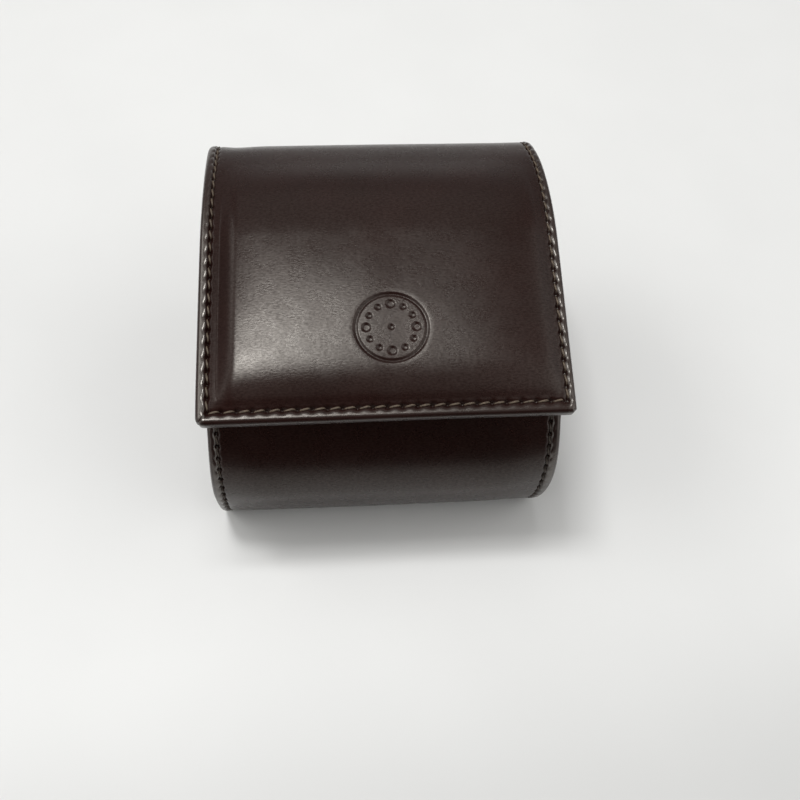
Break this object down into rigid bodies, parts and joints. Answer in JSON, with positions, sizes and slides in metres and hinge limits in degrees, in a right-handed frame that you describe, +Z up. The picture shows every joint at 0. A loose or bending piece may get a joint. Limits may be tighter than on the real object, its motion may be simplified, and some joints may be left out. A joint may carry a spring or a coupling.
{
  "type": "watch case",
  "caption": "Leather travel and display case for one watch: rounded body with recessed end panels, padded fold-over lid and a lift-out cushion.",
  "frame": {"origin": "middle of the footprint's box, on the surface that the case stands on", "axes": "+X to the right seen from the front, +Y to the back where the lid is hinged, +Z up"},
  "size_m": [0.088, 0.094, 0.0749],
  "materials": {
    "leather": "smooth semi-gloss, dark chocolate brown",
    "board": "grey fibre board",
    "lining": "beige suede cloth",
    "foam": "open-cell foam",
    "cushion_cloth": "beige suede cloth",
    "thread": "waxed brown thread",
    "magnet": "nickel-plated"
  },
  "bodies": {
    "case": {"wrap_leather": "leather", "wrap_board": "board", "wrap_lining": "lining", "wrap_magnets": "magnet", "lip_stitching": "thread", "left_end_leather": "leather", "right_end_leather": "leather", "left_end_board": "board", "right_end_board": "board", "left_end_lining": "lining", "right_end_lining": "lining", "wrap_left_stitching": "thread", "wrap_right_stitching": "thread"},
    "lid": {"lid_leather": "leather", "lid_padding": "foam", "lid_board": "board", "lid_lining": "lining", "lid_magnets": "magnet", "lid_front_stitching": "thread", "lid_left_stitching": "thread", "lid_right_stitching": "thread"},
    "cushion": {"cushion_cover": "cushion_cloth", "cushion_core": "foam", "cushion_left_end": "cushion_cloth", "cushion_right_end": "cushion_cloth"}
  },
  "joints": [
    {"name": "lid_hinge", "type": "hinge", "parent": "case", "child": "lid", "pos_m": [0, 0.03481, 0.06903], "axis": [-1, 0, 0], "range_deg": [0, 120]},
    {"name": "cushion_lift", "type": "slide", "parent": "case", "child": "cushion", "axis": [0, 0, 1], "range_m": [0, 0.0635]}
  ],
  "couplings": [
    {"joint": "cushion_lift", "follows": "lid_hinge", "m_per_rad": 0.0303}
  ]
}
